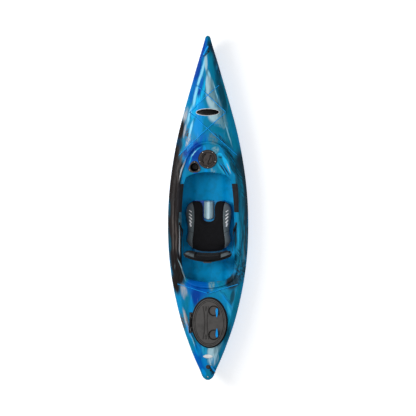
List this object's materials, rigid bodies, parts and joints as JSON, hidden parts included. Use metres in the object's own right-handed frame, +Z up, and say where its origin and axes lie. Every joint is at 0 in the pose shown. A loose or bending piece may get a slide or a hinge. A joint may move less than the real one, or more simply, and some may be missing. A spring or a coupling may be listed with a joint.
{
  "type": "recreational kayak",
  "caption": "Single-seat sit-in kayak with a marbled deck, padded seat and backrest, round dash hatch, hinged oval stern hatch, deck cords and carrying handles.",
  "frame": {"origin": "centre of the bounding box in plan, on the floor that the hull stands on", "axes": "+Y along the boat towards the bow, +X to starboard, +Z up from the floor to the backrest's top edge"},
  "size_m": [0.7142, 3.048, 0.405],
  "materials": {
    "hull_polyethylene": "satin",
    "deck_polyethylene": "satin",
    "flotation_foam": "matte",
    "knee_pad_foam": "matte",
    "seat_fabric": "matte",
    "strap_webbing": "matte",
    "bungee_cord": "satin",
    "handle_cord": "satin",
    "gasket_rubber": "matte",
    "charcoal_plastic": "satin",
    "hatch_lid_plastic": "satin",
    "black_plastic": "satin",
    "blue_plastic": "satin",
    "stainless_steel": "satin",
    "plate_black": "gloss",
    "plate_white": "gloss"
  },
  "bodies": {
    "kayak": {"hull_shell": "hull_polyethylene", "deck_shell": "deck_polyethylene", "bow_foam_block": "flotation_foam", "dash_hatch_ring": "charcoal_plastic", "dash_hatch_screw_1": "stainless_steel", "dash_hatch_screw_2": "stainless_steel", "dash_hatch_screw_3": "stainless_steel", "dash_hatch_screw_4": "stainless_steel", "dash_hatch_screw_5": "stainless_steel", "cup_holder": "charcoal_plastic", "cup_holder_screw_1": "stainless_steel", "cup_holder_screw_2": "stainless_steel", "cup_holder_screw_3": "stainless_steel", "knee_pad_port": "knee_pad_foam", "knee_pad_starboard": "knee_pad_foam", "seat_pedestal": "deck_polyethylene", "seat_cushion": "seat_fabric", "backrest_strap_port": "strap_webbing", "backrest_strap_starboard": "strap_webbing", "strap_anchor_port": "black_plastic", "strap_anchor_starboard": "black_plastic", "strap_buckle_port": "black_plastic", "strap_buckle_starboard": "black_plastic", "stern_hatch_rim": "black_plastic", "stern_hatch_gasket": "gasket_rubber", "stern_hatch_hinge_pin": "stainless_steel", "bow_bungee_port": "bungee_cord", "bow_bungee_starboard": "bungee_cord", "stern_bungee": "bungee_cord", "bow_hook_port": "black_plastic", "bow_hook_starboard": "black_plastic", "stern_hook": "black_plastic", "bow_handle_eye": "black_plastic", "stern_handle_eye": "black_plastic", "bow_plate": "plate_black", "stern_plate": "plate_white", "drain_socket": "black_plastic", "stern_tip_screw": "stainless_steel", "foot_rail_port": "charcoal_plastic", "foot_rail_starboard": "charcoal_plastic", "foot_rail_bolt_port_1": "stainless_steel", "foot_rail_bolt_port_2": "stainless_steel", "foot_rail_bolt_starboard_1": "stainless_steel", "foot_rail_bolt_starboard_2": "stainless_steel"},
    "stern_hatch_lid": {"stern_hatch_lid": "hatch_lid_plastic"},
    "stern_hatch_latch_front": {"stern_hatch_latch_front": "blue_plastic"},
    "stern_hatch_latch_rear": {"stern_hatch_latch_rear": "blue_plastic"},
    "dash_hatch_seal": {"dash_hatch_gasket": "gasket_rubber"},
    "dash_hatch_lid": {"dash_hatch_lid": "charcoal_plastic"},
    "drain_seal": {"drain_gasket": "gasket_rubber"},
    "drain_plug": {"drain_plug": "charcoal_plastic"},
    "bow_handle": {"bow_handle_grip": "blue_plastic", "bow_handle_cord": "handle_cord"},
    "stern_handle": {"stern_handle_grip": "blue_plastic", "stern_handle_cord": "handle_cord"},
    "backrest": {"backrest_shell": "black_plastic", "backrest_pad": "seat_fabric", "backrest_clip": "charcoal_plastic"},
    "foot_pedal_port": {"foot_pedal_port": "black_plastic"},
    "foot_pedal_starboard": {"foot_pedal_starboard": "black_plastic"}
  },
  "joints": [
    {"name": "stern_hatch_hinge", "type": "hinge", "parent": "kayak", "child": "stern_hatch_lid", "pos_m": [-0.156, -1.014, 0.28], "axis": [0, -1, 0], "range_deg": [0, 105]},
    {"name": "latch_front_pivot", "type": "hinge", "parent": "stern_hatch_lid", "child": "stern_hatch_latch_front", "pos_m": [0.0985, -0.926, 0.29415], "axis": [0, 1, 0], "range_deg": [0, 75]},
    {"name": "latch_rear_pivot", "type": "hinge", "parent": "stern_hatch_lid", "child": "stern_hatch_latch_rear", "pos_m": [0.0985, -1.102, 0.29415], "axis": [0, 1, 0], "range_deg": [0, 75]},
    {"name": "dash_hatch_turn", "type": "hinge", "parent": "kayak", "child": "dash_hatch_seal", "pos_m": [0, 0.43, 0.3265], "axis": [0, -0.0995, 0.995], "range_deg": [0, 270]},
    {"name": "dash_hatch_lift", "type": "slide", "parent": "dash_hatch_seal", "child": "dash_hatch_lid", "axis": [0, -0.0995, 0.995], "range_m": [0, 0.06]},
    {"name": "drain_plug_turn", "type": "hinge", "parent": "kayak", "child": "drain_seal", "pos_m": [0, -1.406, 0.2766], "axis": [0, 0, 1], "range_deg": [0, 270]},
    {"name": "drain_plug_lift", "type": "slide", "parent": "drain_seal", "child": "drain_plug", "axis": [0, 0, 1], "range_m": [0, 0.03]},
    {"name": "bow_handle_swing", "type": "hinge", "parent": "kayak", "child": "bow_handle", "pos_m": [0.006, 1.377, 0.32061], "axis": [0.4513, 0.8918, 0.0336], "range_deg": [0, 110]},
    {"name": "stern_handle_swing", "type": "hinge", "parent": "kayak", "child": "stern_handle", "pos_m": [0.0275, -1.4345, 0.28171], "axis": [0.5513, -0.8108, -0.1966], "range_deg": [0, 40]},
    {"name": "backrest_tilt", "type": "hinge", "parent": "kayak", "child": "backrest", "pos_m": [0, -0.412, 0.086], "axis": [1, 0, 0], "range_deg": [-52, 12], "deforming": ["backrest_strap_port", "backrest_strap_starboard"]},
    {"name": "foot_pedal_port_slide", "type": "slide", "parent": "kayak", "child": "foot_pedal_port", "axis": [0.2121, 0.9772, 0], "range_m": [-0.12, 0.12]},
    {"name": "foot_pedal_starboard_slide", "type": "slide", "parent": "kayak", "child": "foot_pedal_starboard", "axis": [-0.2121, 0.9772, 0], "range_m": [-0.12, 0.12]}
  ]
}
